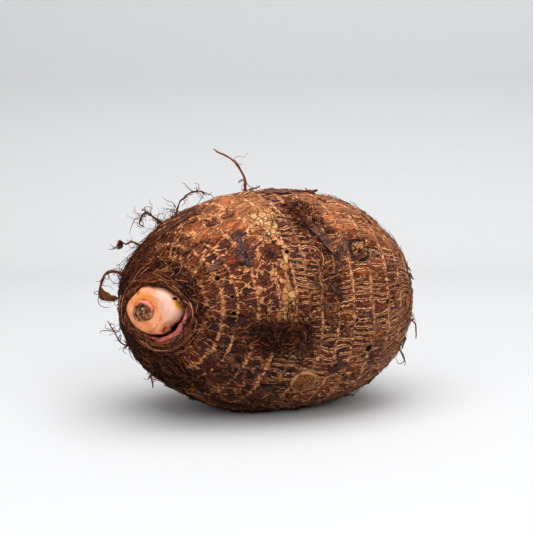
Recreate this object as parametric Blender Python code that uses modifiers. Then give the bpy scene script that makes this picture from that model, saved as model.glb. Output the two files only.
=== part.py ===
"""A taro root: one whole corm lying on its side, with the cut shoot at its left end and its dry roots.

Run it with blender --background --python part.py. Lengths are in metres and +Z is up. The corm's long
axis is X and the shoot is at its -X end. The origin is on the surface that the corm lies on, at the
bottom centre of the whole object's box.
"""

import math

import bmesh
import bpy
from mathutils import Matrix, Vector, noise

MM = 0.001

# The corm, a squarish ellipsoid that is a little fatter towards its base end, at +X.
CORM_LENGTH = 98.5 * MM
CORM_HEIGHT = 72.5 * MM
CORM_DEPTH = 70 * MM
FULLNESS = 2.12  # 2 is a true ellipsoid, and more makes both ends blunter
FATTER_AT_BASE = 0.045
LUMP_HEIGHT = 0.7 * MM
LUMP_WIDTH = 26 * MM
SEGMENTS = 56
RINGS = 36

# The flat that it lies on, and the height of its middle above that.
FLAT_DEPTH = 1.6 * MM
CENTRE = Vector((0, 0, CORM_HEIGHT / 2 - FLAT_DEPTH))

# The shoot: where it stands on the corm, which way it points, and the dish that it grows from.
SHOOT_BEARING = math.radians(24)  # from -X towards -Y, seen from the corm's middle
SHOOT_RISE = math.radians(3)
FACING_BEARING = math.radians(41)  # the way that the skin faces there
FACING_RISE = math.radians(5)
DISH_WIDTH = 23.5 * MM
DISH_HEIGHT = 19.5 * MM
DISH_DEPTH = 4.6 * MM
STUB_WIDTH = 19.4 * MM
STUB_HEIGHT = 15.8 * MM
STUB_TOP = 6 * MM  # above its widest place
STUB_FOOT = 3 * MM  # below its widest place
STUB_OFFSET = Vector((-0.9, 1, -0.8)) * MM  # its widest place, to the right, up and out of the skin
SHEATH_THICKNESS = 1.8 * MM
SHEATH_SINK = 0.5 * MM
FURLED_LEAF_THICKNESS = 1.9 * MM
FURLED_LEAF_OFFSET = Vector((-3.4, -1.2)) * MM  # from the stub's middle

# The scar at the base end, where the corm was broken from its parent.
BASE_SCAR_WIDTH = 19 * MM
BASE_SCAR_DEPTH = 1.6 * MM

# The dry scale, a strip of old leaf base that lies along the top and lifts at one end.
SCALE_LENGTH = 20 * MM
SCALE_WIDTH = 9 * MM
SCALE_THICKNESS = 0.5 * MM
SCALE_START = Vector((-1, 1)) * MM
SCALE_LIFT = 1.5 * MM

GAP = 0.3 * MM  # between pieces that touch on the real root
ROOT_STEP = 1.1 * MM

# The dry roots that stand clear of the corm: thickness, then the places that each one passes, in
# millimetres from the middle of the flat, from the skin to the tip.
ROOTS = {
    "root_top": (1.1, [(-6.5, 6, 71), (-6.5, 6, 74), (-7.5, 6.5, 77.5), (-9.5, 7.5, 80.5),
                       (-12.5, 8.5, 82.5), (-16.5, 10, 85)]),
    "root_shoulder": (1.0, [(-32, 8, 60), (-35, 9, 62.5), (-38, 10.5, 64.5), (-40.5, 11, 63),
                            (-41, 11.5, 60.5), (-39, 11, 59.5)]),
    "root_arch": (0.8, [(-28, 9.5, 62), (-26.5, 9.5, 67), (-24, 8.5, 70), (-21.5, 7.5, 71.5),
                        (-19, 7, 70.5)]),
    "root_hook_upper": (0.8, [(-40, 7.5, 54.5), (-43, 8, 55.5), (-45.5, 9, 54.5), (-48, 9.5, 56),
                              (-49, 10, 54.5), (-48, 10, 52.5)]),
    "root_loop": (1.1, [(-46.5, 8, 45), (-50.5, 9, 46), (-53.5, 10, 44), (-55, 10.5, 40.5),
                        (-54, 10.5, 37), (-51.5, 9.5, 36)]),
    "root_hook_lower": (0.8, [(-44, 8, 21.5), (-46.5, 8.5, 22), (-49, 9.5, 24.5), (-51, 10, 27.5),
                              (-52.5, 10.5, 30)]),
    "root_lower_left": (1.0, [(-35, 7, 12), (-38, 8, 11.5), (-38.5, 8.5, 9), (-37, 8, 6)]),
    "root_right": (0.8, [(47, -8, 27), (49.3, -8.5, 25.5), (50.2, -9, 22.5), (50, -9, 20)]),
    "root_right_low": (0.7, [(42, -7, 18), (44.5, -7.5, 16), (46, -8, 14), (46.5, -8.5, 11.5)]),
}


def clear_scene():
    for obj in list(bpy.data.objects):
        bpy.data.objects.remove(obj, do_unlink=True)


def collection(name):
    made = bpy.data.collections.new(name)
    bpy.context.scene.collection.children.link(made)
    return made


def material(name, colour, roughness):
    made = bpy.data.materials.new(name)
    made.use_nodes = True
    shader = made.node_tree.nodes["Principled BSDF"]
    shader.inputs["Base Color"].default_value = (*colour, 1)
    shader.inputs["Roughness"].default_value = roughness
    shader.inputs["Metallic"].default_value = 0
    return made


def place(name, data, home, finish):
    """Puts a mesh or curve in a collection as one named object."""
    obj = bpy.data.objects.new(name, data)
    home.objects.link(obj)
    if finish:
        data.materials.append(finish)
    return obj


def corm_surface(direction):
    """The point of the skin that lies in this direction from the corm's middle."""
    d = direction.normalized()
    along = abs(d.x) / (CORM_LENGTH / 2)
    across = math.hypot(d.y / (CORM_DEPTH / 2), d.z / (CORM_HEIGHT / 2))
    reach = (along**FULLNESS + across**FULLNESS) ** (-1 / FULLNESS)
    point = d * reach
    fatter = 1 + FATTER_AT_BASE * point.x / (CORM_LENGTH / 2)
    point.y *= fatter
    point.z *= fatter
    point += d * LUMP_HEIGHT * noise.noise(point / LUMP_WIDTH)
    return CENTRE + point


def corm_mesh():
    """A sphere with its poles on X, moved out to the skin, and cut flat where the corm lies."""
    bm = bmesh.new()
    bmesh.ops.create_uvsphere(
        bm, u_segments=SEGMENTS, v_segments=RINGS, radius=1, matrix=Matrix.Rotation(math.pi / 2, 4, "Y")
    )
    half = Vector((CORM_LENGTH, CORM_DEPTH, CORM_HEIGHT)) / 2
    for vert in bm.verts:
        vert.co = corm_surface(vert.co * half)
    bmesh.ops.bisect_plane(
        bm, geom=bm.verts[:] + bm.edges[:] + bm.faces[:], plane_co=(0, 0, 0), plane_no=(0, 0, -1),
        clear_outer=True,
    )
    rim = [edge for edge in bm.edges if edge.is_boundary]
    bmesh.ops.contextual_create(bm, geom=rim)
    bmesh.ops.recalc_face_normals(bm, faces=bm.faces[:])
    mesh = bpy.data.meshes.new("corm")
    bm.to_mesh(mesh)
    bm.free()
    mesh.shade_smooth()
    return mesh


def dish_cutter(name, size, frame, home):
    """A flattened ball that hollows the skin by half its thickness, facing along the frame's Z."""
    bm = bmesh.new()
    bmesh.ops.create_uvsphere(bm, u_segments=32, v_segments=16, radius=0.5)
    bmesh.ops.scale(bm, vec=size, verts=bm.verts[:])
    mesh = bpy.data.meshes.new(name)
    bm.to_mesh(mesh)
    bm.free()
    cutter = place(name, mesh, home, None)
    cutter.matrix_world = frame
    cutter.hide_render = True
    cutter.display_type = "WIRE"
    return cutter


def cut(obj, cutter):
    step = obj.modifiers.new(cutter.name, "BOOLEAN")
    step.operation = "DIFFERENCE"
    step.object = cutter


def facing_frame(point, outward):
    """A frame at a point of the skin: X is to the right of someone who looks at it, Y up, Z outward."""
    right = Vector((0, 0, 1)).cross(outward).normalized()
    up = outward.cross(right)
    return Matrix.Translation(point) @ Matrix((right, up, outward)).transposed().to_4x4()


def from_shoot_end(bearing, rise):
    """A unit vector that points this far from -X towards -Y, and this far up."""
    level = math.cos(rise)
    return Vector((-math.cos(bearing) * level, -math.sin(bearing) * level, math.sin(rise)))


def shoot_frame():
    point = corm_surface(from_shoot_end(SHOOT_BEARING, SHOOT_RISE))
    return facing_frame(point, from_shoot_end(FACING_BEARING, FACING_RISE))


def add_corm(home, cutters, finish, shoot):
    corm = place("corm", corm_mesh(), home, finish)
    cut(corm, dish_cutter("shoot_dish", Vector((DISH_WIDTH, DISH_HEIGHT, 2 * DISH_DEPTH)), shoot, cutters))
    base = facing_frame(corm_surface(Vector((1, 0, 0))), Vector((1, 0, 0)))
    scar = Vector((BASE_SCAR_WIDTH, BASE_SCAR_WIDTH, 2 * BASE_SCAR_DEPTH))
    cut(corm, dish_cutter("base_scar", scar, base, cutters))


def stub_height(share):
    """How far the stub's top stands out at a share of the way from its middle to its rim."""
    return STUB_TOP * (1 - share**2.3) ** 0.8


def add_shoot_stub(home, finish, shoot):
    """The cut core of the leaf stalks, turned and then made oval, with a bowl-shaped foot."""
    steps = 9
    bm = bmesh.new()
    profile = []
    for i in range(steps + 1):
        share = math.sin(i / steps * math.pi / 2)
        profile.append((share, stub_height(share)))
    for i in range(steps - 1, -1, -1):
        share = math.sin(i / steps * math.pi / 2)
        profile.append((share, -STUB_FOOT * math.sqrt(1 - share**2)))
    verts = [bm.verts.new((STUB_WIDTH / 2 * share, 0, z)) for share, z in profile]
    for a, b in zip(verts, verts[1:]):
        bm.edges.new((a, b))
    mesh = bpy.data.meshes.new("shoot_stub")
    bm.to_mesh(mesh)
    bm.free()
    stub = place("shoot_stub", mesh, home, finish)
    turn = stub.modifiers.new("turn", "SCREW")
    turn.axis = "Z"
    turn.steps = turn.render_steps = 36
    turn.use_merge_vertices = True
    turn.merge_threshold = 0.00001
    turn.use_smooth_shade = True
    flattening = Matrix.Diagonal((1, STUB_HEIGHT / STUB_WIDTH, 1, 1))
    stub.matrix_world = shoot @ Matrix.Translation(STUB_OFFSET) @ flattening


def smooth_route(points, step):
    """Evenly spaced points on a Catmull-Rom curve through the given ones."""
    ends = [2 * points[0] - points[1], *points, 2 * points[-1] - points[-2]]
    route = []
    for a, b, c, d in zip(ends, ends[1:], ends[2:], ends[3:]):
        count = max(2, round((c - b).length / step))
        for i in range(count):
            t = i / count
            route.append(
                0.5 * ((2 * b) + (c - a) * t + (2 * a - 5 * b + 4 * c - d) * t**2
                       + (3 * b - a - 3 * c + d) * t**3)
            )
    return [*route, points[-1]]


def add_strand(name, route, thickness, thinness, home, finish):
    """A round strand along a route. thinness gives each point's share of the full thickness."""
    curve = bpy.data.curves.new(name, "CURVE")
    curve.dimensions = "3D"
    curve.bevel_depth = thickness / 2
    curve.bevel_resolution = 2
    curve.use_fill_caps = True
    spline = curve.splines.new("POLY")
    spline.points.add(len(route) - 1)
    for i, (point, co) in enumerate(zip(spline.points, route)):
        point.co = (*co, 1)
        point.radius = thinness(i / (len(route) - 1))
    return place(name, curve, home, finish)


def add_leaf_sheath(home, finish, shoot):
    """The last leaf's base, a crescent in the dish below and right of the stub, thin at both ends."""
    start, end = math.radians(12), math.radians(-125)
    # From the dish's edge, its own half thickness and the gap leave the crescent's middle line.
    inset = SHEATH_THICKNESS / 2 + GAP
    steps = 18
    route = []
    for i in range(steps + 1):
        angle = start + (end - start) * i / steps
        across = (DISH_WIDTH / 2 - inset) * math.cos(angle)
        above = (DISH_HEIGHT / 2 - inset) * math.sin(angle)
        route.append(Vector((across, above, -SHEATH_SINK)))
    sheath = add_strand(
        "leaf_sheath", route, SHEATH_THICKNESS, lambda t: 0.35 + 0.65 * math.sin(math.pi * t) ** 0.6,
        home, finish,
    )
    sheath.matrix_world = shoot


def add_furled_leaf(home, finish, shoot):
    """The dead tip of the furled leaf, a short coil that lies on the stub's left half."""
    coil_radius = 2.5 * MM
    turns = 1.15
    steps = 22
    route = []
    for i in range(steps + 1):
        t = i / steps
        angle = math.radians(60) + 2 * math.pi * turns * t
        radius = coil_radius * (1 - 0.62 * t)
        at = FURLED_LEAF_OFFSET + radius * Vector((math.cos(angle), math.sin(angle)))
        share = min(math.hypot(at.x / STUB_WIDTH, at.y / STUB_HEIGHT) * 2, 1)
        clear = FURLED_LEAF_THICKNESS / 2 + GAP
        route.append(STUB_OFFSET + Vector((at.x, at.y, stub_height(share) + clear)))
    leaf = add_strand(
        "furled_leaf", route, FURLED_LEAF_THICKNESS, lambda t: 0.5 + 0.4 * t, home, finish
    )
    leaf.matrix_world = shoot


def add_dry_scale(home, finish):
    """A strip that follows the skin along the top ridge, and curls up off it at its +X end."""
    columns, rows = 12, 4
    bm = bmesh.new()
    bmesh.ops.create_grid(bm, x_segments=columns, y_segments=rows, size=0.5)
    for vert in bm.verts:
        along = vert.co.x + 0.5
        narrowing = 1 - 0.45 * (2 * along - 1) ** 2
        x = SCALE_START.x + SCALE_LENGTH * along
        y = SCALE_START.y + SCALE_WIDTH * narrowing * vert.co.y
        skin = corm_surface(Vector((x, y, CORM_HEIGHT / 2)))
        lift = SCALE_LIFT * max(0, (along - 0.6) / 0.4) ** 2
        vert.co = skin + Vector((0, 0, GAP + SCALE_THICKNESS / 2 + lift))
    mesh = bpy.data.meshes.new("dry_scale")
    bm.to_mesh(mesh)
    bm.free()
    scale = place("dry_scale", mesh, home, finish)
    thicken = scale.modifiers.new("thicken", "SOLIDIFY")
    thicken.thickness = SCALE_THICKNESS
    thicken.offset = 0


def seated(point, radius):
    """The place on the way from the corm's middle to this point where a strand just clears the skin."""
    direction = point - CENTRE
    skin = corm_surface(direction)
    return skin + direction.normalized() * (radius + 2 * GAP)


def add_roots(home, finish):
    for name, (thickness, places) in ROOTS.items():
        points = [Vector(place_mm) * MM for place_mm in places]
        points[0] = seated(points[0], thickness * MM / 2)
        route = smooth_route(points, ROOT_STEP)
        add_strand(name, route, thickness * MM, lambda t: 1 - 0.6 * t, home, finish)


def centre_on_origin(home):
    """Moves the whole object so that the origin is at its box's bottom centre."""
    bpy.context.view_layer.update()
    graph = bpy.context.evaluated_depsgraph_get()
    corners = []
    for obj in home.objects:
        evaluated = obj.evaluated_get(graph)
        corners += [evaluated.matrix_world @ vert.co for vert in evaluated.to_mesh().vertices]
        evaluated.to_mesh_clear()
    middle_x = (min(c.x for c in corners) + max(c.x for c in corners)) / 2
    middle_y = (min(c.y for c in corners) + max(c.y for c in corners)) / 2
    for obj in [*home.objects, *bpy.data.collections["cutters"].objects]:
        obj.location -= Vector((middle_x, middle_y, 0))


def build():
    clear_scene()
    home = collection("taro_root")
    cutters = collection("cutters")
    skin = material("corky_skin", (0.13, 0.055, 0.028), 0.75)
    flesh = material("shoot_flesh", (0.78, 0.50, 0.36), 0.4)
    sheath = material("leaf_sheath", (0.42, 0.16, 0.12), 0.45)
    dead_leaf = material("dead_leaf", (0.12, 0.07, 0.045), 0.8)
    root = material("dry_root", (0.16, 0.065, 0.03), 0.7)
    shoot = shoot_frame()
    add_corm(home, cutters, skin, shoot)
    add_shoot_stub(home, flesh, shoot)
    add_leaf_sheath(home, sheath, shoot)
    add_furled_leaf(home, dead_leaf, shoot)
    add_dry_scale(home, dead_leaf)
    add_roots(home, root)
    centre_on_origin(home)


build()
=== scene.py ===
"""A whole taro corm, lying on its side, with its cut shoot and its dry roots."""

import itertools
import math

import bpy
import numpy as np
from mathutils import Matrix, Vector


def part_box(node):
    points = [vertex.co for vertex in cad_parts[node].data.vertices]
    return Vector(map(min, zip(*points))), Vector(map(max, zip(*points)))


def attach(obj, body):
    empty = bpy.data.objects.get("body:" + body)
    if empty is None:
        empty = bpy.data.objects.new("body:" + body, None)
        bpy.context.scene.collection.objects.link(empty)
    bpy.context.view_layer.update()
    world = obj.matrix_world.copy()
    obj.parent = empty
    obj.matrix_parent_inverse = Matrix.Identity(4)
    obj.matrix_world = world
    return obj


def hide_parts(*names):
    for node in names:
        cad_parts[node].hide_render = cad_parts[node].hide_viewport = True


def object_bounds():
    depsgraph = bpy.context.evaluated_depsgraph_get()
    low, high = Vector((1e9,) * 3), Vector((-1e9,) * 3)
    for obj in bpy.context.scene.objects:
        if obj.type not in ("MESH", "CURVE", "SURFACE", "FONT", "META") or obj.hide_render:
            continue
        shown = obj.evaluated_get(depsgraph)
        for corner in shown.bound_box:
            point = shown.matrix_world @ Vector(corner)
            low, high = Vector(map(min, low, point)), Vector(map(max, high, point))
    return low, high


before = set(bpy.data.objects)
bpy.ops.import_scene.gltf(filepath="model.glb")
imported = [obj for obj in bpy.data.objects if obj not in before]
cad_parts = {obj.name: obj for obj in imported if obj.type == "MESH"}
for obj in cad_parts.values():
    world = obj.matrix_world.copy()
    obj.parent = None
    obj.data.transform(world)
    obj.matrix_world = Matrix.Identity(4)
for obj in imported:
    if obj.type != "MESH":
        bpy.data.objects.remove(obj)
cad_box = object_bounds()

MM = 0.001


# ------------------------------------------------------------ the corm's skin
# The corm is a swollen underground stem. Its skin is cork and dried leaf bases: each old leaf has left a
# pale ring round it, buds sit between the rings, and the skin has split lengthwise as the corm grew.

FLAT_DEPTH = 1.6 * MM  # how much of the round shape the flat underside takes off
FULLNESS = 2.12  # 2 is a true ellipsoid
FATTER_AT_BASE = 0.045
MERIDIAN = 122 * MM  # from the shoot over the skin to the base

low, high = map(np.array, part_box("corm"))
half = (high - low) / 2
half[2] += FLAT_DEPTH / 2
middle = (high + low) / 2
middle[2] = high[2] - half[2]

# A bearing is from -X towards -Y, seen from the corm's middle, and a rise is above level. The shoot grows at
# the first of these and faces the second.
SHOOT_BEARING, SHOOT_RISE = math.radians(24), math.radians(3)
FACING_BEARING, FACING_RISE = math.radians(41), math.radians(5)
DISH = np.array([23.5, 19.5]) * MM  # the hollow round the shoot
DISH_DEPTH = 4.6  # in millimetres, like all of the relief
BASE_SCAR = 19 * MM

# Shares of the way from the shoot to the base, and angles from the top round to the front, in degrees.
RINGS = np.array([0.118, 0.160, 0.196, 0.255, 0.325, 0.385, 0.433, 0.477, 0.533, 0.591, 0.669, 0.735,
                  0.794, 0.85, 0.90, 0.945])
RING_WIDTHS = np.array([1.2, 1.5, 0.9, 1.6, 2.2, 1.2, 1.2, 1.5, 1.3, 1.6, 1.6, 1.7, 1.5, 1.5, 1.4,
                        1.2]) * MM
SPLITS = 84  # round the corm
# Each feature is a share, an angle and a radius in millimetres.
EYES = [(0.337, 45, 3.8), (0.289, 63, 2.8), (0.257, 2, 2.6), (0.48, 205, 3.4), (0.36, 262, 3.2),
        (0.62, 290, 3.4), (0.70, 215, 3.0), (0.56, 330, 3.0)]
CORK_SCARS = [(0.465, 136, 4.4), (0.60, 250, 4.0)]
STUMPS = [(0.647, 51, 2.9), (0.40, 310, 2.4), (0.53, 232, 2.6)]
PITS = [(0.671, 114, 1.3), (0.605, 132, 0.9), (0.731, 85, 0.8), (0.603, 94, 0.7), (0.166, 51, 0.7),
        (0.188, 72, 0.6), (0.190, 88, 0.7), (0.387, 48, 0.7), (0.259, 42, 1.1), (0.44, 180, 1.0),
        (0.52, 275, 1.1), (0.68, 320, 0.9), (0.30, 240, 0.9), (0.75, 180, 1.0), (0.82, 130, 0.8)]

lattice = np.random.default_rng(3).uniform(-1, 1, 4096)


def unit(vectors):
    return vectors / np.linalg.norm(vectors, axis=-1, keepdims=True)


def smooth(values, start, end):
    """0 before start, 1 past end, and smooth between them."""
    t = np.clip((values - start) / (end - start), 0, 1)
    return t * t * (3 - 2 * t)


def hump(values, middle, width):
    """1 at the middle, and falling off smoothly on both sides."""
    return np.exp(-(((values - middle) / width) ** 2))


def noise(points, size, seed=0):
    """Smooth random values from -1 to 1, with bumps about this size."""
    scaled = points / size + seed * 7.13
    cell = np.floor(scaled).astype(np.int64)
    part = scaled - cell
    part = part * part * (3 - 2 * part)
    total = 0
    for corner in itertools.product((0, 1), repeat=3):
        x, y, z = np.moveaxis(cell + corner, -1, 0)
        value = lattice[(x * 7919 ^ y * 104729 ^ z * 1299709) & 4095]
        total = total + value * np.prod(np.where(corner, part, 1 - part), axis=-1)
    return total


def together(*parts):
    """Arrays side by side on a new last axis, each stretched to the shape of them all."""
    return np.stack(np.broadcast_arrays(*parts), axis=-1)


def pointing(bearing, rise):
    """A unit vector that points this far from -X towards -Y, and this far up."""
    level = math.cos(rise)
    return np.array([-math.cos(bearing) * level, -math.sin(bearing) * level, math.sin(rise)])


# A place on the skin is a share and an angle. Seen from the base end, the directions are spread on a plane,
# where the places with one share are circles round the shoot.
shoot_way = pointing(SHOOT_BEARING, SHOOT_RISE)
shoot_on_plane = (shoot_way[2] - 1j * shoot_way[1]) / (1 - shoot_way[0])


def direction(share, angle):
    """The direction, from the corm's middle, of a place on the skin."""
    on_plane = shoot_on_plane + np.tan(share * math.pi / 2) * np.exp(1j * angle)
    size = np.abs(on_plane) ** 2
    way = np.stack([size - 1, -2 * on_plane.imag, 2 * on_plane.real], axis=-1)
    return way / (size + 1)[..., None]


def place(way):
    """The share and the angle of the place in this direction."""
    offset = (way[..., 2] - 1j * way[..., 1]) / (1 - way[..., 0]) - shoot_on_plane
    return np.arctan(np.abs(offset)) * 2 / math.pi, np.angle(offset)


def plain_skin(way):
    """The skin's place in this direction from the corm's middle, without its relief."""
    along = np.abs(way[..., 0]) / half[0]
    across = np.hypot(way[..., 1] / half[1], way[..., 2] / half[2])
    point = way * ((along**FULLNESS + across**FULLNESS) ** (-1 / FULLNESS))[..., None]
    point[..., 1:] *= 1 + FATTER_AT_BASE * point[..., :1] / half[0]
    return middle + point


def outward(points):
    return unit((points - middle) / half**2)


def nearest(points, features):
    """How far each point is from the nearest of these features, in that feature's radii."""
    least = np.full(points.shape[:-1], 4.0)
    for share, angle, radius in features:
        centre = plain_skin(direction(np.array(share), np.array(math.radians(angle))))
        away = np.linalg.norm(points - centre, axis=-1) / (radius * MM)
        least = np.minimum(least, away)
    return least


def ring_distance(points, share):
    """How far each point is from the middle of the nearest ring, in that ring's half widths."""
    wander = 1.1 * MM * noise(points, 15 * MM, 1) + 0.35 * MM * noise(points, 3 * MM, 2)
    along = (share * MERIDIAN + wander)[..., None]
    return np.min(np.abs(along - RINGS * MERIDIAN) / (RING_WIDTHS / 2), axis=-1)


def split_turn(points, share, angle):
    """A count that grows round the corm, with a lengthwise split wherever it passes a half."""
    # Each stretch between two rings has its own splits.
    stretch = np.searchsorted(RINGS, share)
    own = lattice[stretch * 37 % 4096]
    slow = noise(points * [0.35, 1, 1], 6 * MM, 11) + 0.35 * noise(points * [0.6, 1, 1], 2.6 * MM, 12)
    return SPLITS * angle / (2 * math.pi) + slow * 1.1 + own


def split_strength(points, share):
    """Where the skin has split: nearly everywhere on the base half, and in patches elsewhere."""
    return smooth(share + 0.07 * noise(points, 10 * MM, 13), 0.31, 0.42)


# The shoot's own frame: X to the right of someone who looks at it, Y up and Z out of the skin.
out = pointing(FACING_BEARING, FACING_RISE)
right = unit(np.cross([0, 0, 1], out))
shoot_axes = np.stack([right, np.cross(out, right), out])
shoot_point = plain_skin(shoot_way)


def dish_share(points):
    """0 at the middle of the shoot's dish, and 1 at its edge."""
    x, y, z = np.moveaxis((points - shoot_point) @ shoot_axes.T, -1, 0)
    return np.where(z < -15 * MM, 9, np.hypot(x / DISH[0], y / DISH[1]) * 2)


def relief(points, share, angle):
    """How far the skin stands out from its plain shape: the sum of each feature's rise in millimetres."""
    height = 0
    for rise, size, seed in ((0.7, 26, 4), (0.35, 8, 5), (0.12, 2.5, 6)):
        height = height + rise * noise(points, size * MM, seed)
    rings = ring_distance(points, share)
    height += 0.32 * np.exp(-(rings**2) / 2)
    # Between the rings the skin is wrinkled along the corm, more so towards the base.
    around = np.stack([share * 11, 15 * np.cos(angle), 15 * np.sin(angle)], axis=-1)
    wrinkles = noise(around, 1, 7) + 0.6 * noise(around * 2.1, 1, 8)
    height += 0.15 * wrinkles * smooth(share, 0.3, 0.5) * smooth(rings, 0.6, 1.6)
    away = np.abs(split_turn(points, share, angle) % 1 - 0.5)
    groove = 0.12 * smooth(away, 0.2, 0.34) - 0.45 * smooth(away, 0.4, 0.5)
    height += groove * split_strength(points, share) * smooth(rings, 0.5, 1.3)
    eyes = nearest(points, EYES)
    height += 0.3 * hump(eyes, 1.05, 0.18) + (0.5 * hump(eyes, 0, 0.45) - 0.45) * smooth(eyes, 1, 0.7)
    cork = nearest(points, CORK_SCARS)
    height += 0.45 * smooth(cork, 1.05, 0.85) + 0.3 * hump(cork, 0.92, 0.1)
    stump = nearest(points, STUMPS)
    knobs = 1 + 0.6 * noise(points, 1.6 * MM, 9) + 0.5 * noise(points, 0.9 * MM, 14)
    height += 2.2 * knobs * smooth(stump, 1.05, 0.3) - 1.1 * smooth(stump, 0.45, 0.15)
    height -= 0.7 * hump(stump, 1.2, 0.25)
    pits = nearest(points, PITS)
    height += 0.3 * hump(pits, 1.2, 0.3) - 1.1 * smooth(pits, 1.05, 0.35)
    dish = dish_share(points)
    height += 0.9 * hump(dish, 1.14, 0.12) * (1 + 0.6 * noise(points, 2 * MM, 10))
    height -= DISH_DEPTH * np.sqrt(np.clip(1 - dish**2, 0, 1))
    base = np.linalg.norm(points - plain_skin(np.array([1.0, 0, 0])), axis=-1) / (BASE_SCAR / 2)
    height += 0.6 * hump(base, 1.05, 0.12) - 1.5 * np.sqrt(np.clip(1 - base**2, 0, 1))
    return height * MM


def skin(way):
    """The skin's real place in this direction, no lower than the surface that it lies on."""
    plain = plain_skin(way)
    share, angle = place(way)
    point = plain + way * relief(plain, share, angle)[..., None]
    point[..., 2] = np.maximum(point[..., 2], 0)
    return point


def grid_faces(rows, columns, closed=True, start=0):
    """Four-cornered faces for a grid of points, which may close on itself across."""
    made = []
    for i in range(rows - 1):
        for j in range(columns if closed else columns - 1):
            a, b = start + i * columns + j, start + i * columns + (j + 1) % columns
            made.append((a, b, b + columns, a + columns))
    return made


def turned(faces):
    """The same faces, seen from their other side."""
    return [face[::-1] for face in faces]


def new_object(name, points, faces, finish=None):
    mesh = bpy.data.meshes.new(name)
    mesh.from_pydata(points.tolist(), [], faces)
    mesh.shade_smooth()
    if finish:
        mesh.materials.append(finish)
    made = bpy.data.objects.new(name, mesh)
    bpy.context.scene.collection.objects.link(made)
    return made


def keep(mesh, name, values):
    """Stores a value, or a vector, for each vertex, where the material reads it."""
    vector = values.ndim == 2
    made = mesh.attributes.new(name, "FLOAT_VECTOR" if vector else "FLOAT", "POINT")
    made.data.foreach_set("vector" if vector else "value", values.astype(np.float32).ravel())


def read(items, name):
    """A whole number of each of a mesh's corners or faces."""
    values = np.zeros(len(items), np.int32)
    items.foreach_get(name, values)
    return values


def lay_out(mesh, across, up):
    """Gives each corner of the mesh its place in the baked textures."""
    mesh.uv_layers.new(name="OFBake").data.foreach_set("uv", np.stack([across, up], axis=-1).ravel())


ROWS, COLUMNS = 220, 444
row_shares = np.linspace(0, 1, ROWS + 1)[1:-1]
# The columns meet underneath.
column_angles = np.linspace(-math.pi, math.pi, COLUMNS, endpoint=False)
share, angle = np.meshgrid(row_shares, column_angles, indexing="ij")
# The base's own direction has no share, so it is taken from just beside it.
base_way = direction(np.array(0.9999), np.array(0.0))
ways = np.concatenate([direction(share, angle).reshape(-1, 3), [shoot_way], [base_way]])
points = skin(ways)

faces = grid_faces(ROWS - 1, COLUMNS)
shoot_pole, base_pole = len(points) - 2, len(points) - 1
last_row = (ROWS - 2) * COLUMNS
for j in range(COLUMNS):
    following = (j + 1) % COLUMNS
    faces.append((shoot_pole, following, j))
    faces.append((base_pole, last_row + j, last_row + following))
corm_skin = new_object("corm_skin", points, faces)
mesh = corm_skin.data

# The skin is laid out like a rolled-out label: the columns go across and the shares go up.
corners, starts = read(mesh.loops, "vertex_index"), read(mesh.polygons, "loop_start")
up = np.append(np.repeat(row_shares, COLUMNS), [0, 1])[corners]
across = np.append(np.tile(np.arange(COLUMNS) / COLUMNS, ROWS - 1), [0.5, 0.5])[corners]
owner = np.repeat(np.arange(len(starts)), read(mesh.polygons, "loop_total"))
rightmost = np.maximum.reduceat(across, starts)[owner]
across = np.where((across < 0.25) & (rightmost > 0.75), across + 1, across)
lay_out(mesh, across / (1 + 1 / COLUMNS), up)

plain = plain_skin(ways)
share, angle = place(ways)
GIRTH_RADIUS = 33  # a typical one, in millimetres
grown = np.stack([share * MERIDIAN / MM, GIRTH_RADIUS * np.cos(angle), GIRTH_RADIUS * np.sin(angle)], axis=-1)
keep(mesh, "grown", grown)
keep(mesh, "ring", np.minimum(ring_distance(plain, share), 6))
for name, features in (("eye", EYES), ("cork_scar", CORK_SCARS), ("stump", STUMPS), ("pit", PITS)):
    keep(mesh, name, nearest(plain, features))
patchy = noise(plain, 9 * MM, 20)
degrees = np.degrees(angle)
# A broad band of pale cork runs down the front from the top.
band = 1 - np.abs(share - 0.355 - 0.02 * np.cos(angle)) / 0.05
worn = hump(share, 0.3, 0.12) * hump(degrees, -2, 24)
keep(mesh, "worn", np.clip(worn + 0.5 * patchy * worn, 0, 1))
cork = smooth(band + 0.5 * patchy, 0.1, 0.7) * smooth(degrees, 2, 16) * smooth(degrees, 112, 90)
keep(mesh, "cork", cork)
# Brown matted fibre covers the skin round the shoot and on the lower left.
below = smooth(np.cos(angle - math.radians(230)), 0.0, 0.8)
mat = 0.8 * smooth(share, 0.145, 0.095) + below * smooth(share, 0.26, 0.15)
tangle = hump(share, 0.34, 0.11) * hump(degrees, 104, 13)
tangle += 0.8 * hump(share, 0.495, 0.035) * hump(degrees, 23, 9)
keep(mesh, "mat", np.clip(mat + tangle + 0.5 * patchy * (mat + tangle), 0, 1))
# Rust tints the base half. The warm patch on the top right is rust with painted highlight.
rust_and_highlight = 1.1 * hump(share, 0.7, 0.15) * hump(degrees, 12, 34)
keep(mesh, "rust_and_highlight", np.clip(rust_and_highlight * (1 + 0.5 * patchy), 0.2 * smooth(share, 0.46, 0.7), 1))
# Painted shade: the lower front of the shoot end is darker, with fewer pale lines.
lower_front_shade = hump(share, 0.27, 0.17) * hump(degrees % 360, 126, 38)
keep(mesh, "lower_front_shade", np.clip(lower_front_shade * (1 + 0.6 * patchy), 0, 1))
joint = smooth(np.abs(angle), math.pi, math.pi - 0.05)
keep(mesh, "split", split_strength(plain, share) * (1 - 0.8 * cork) * joint)
keep(mesh, "split_turn", split_turn(plain, share, angle))
# Painted shade near the floor: the lowest 14 mm of the skin are drawn towards a dull brown.
keep(mesh, "underside_shade", smooth(plain[:, 2], 14 * MM, 3 * MM))


def linear(code, alpha=1.0):
    """A colour's linear values, from its sRGB hex code."""
    values = [int(code[i : i + 2], 16) / 255 for i in (0, 2, 4)]
    return (*[v / 12.92 if v <= 0.04045 else ((v + 0.055) / 1.055) ** 2.4 for v in values], alpha)


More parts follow.
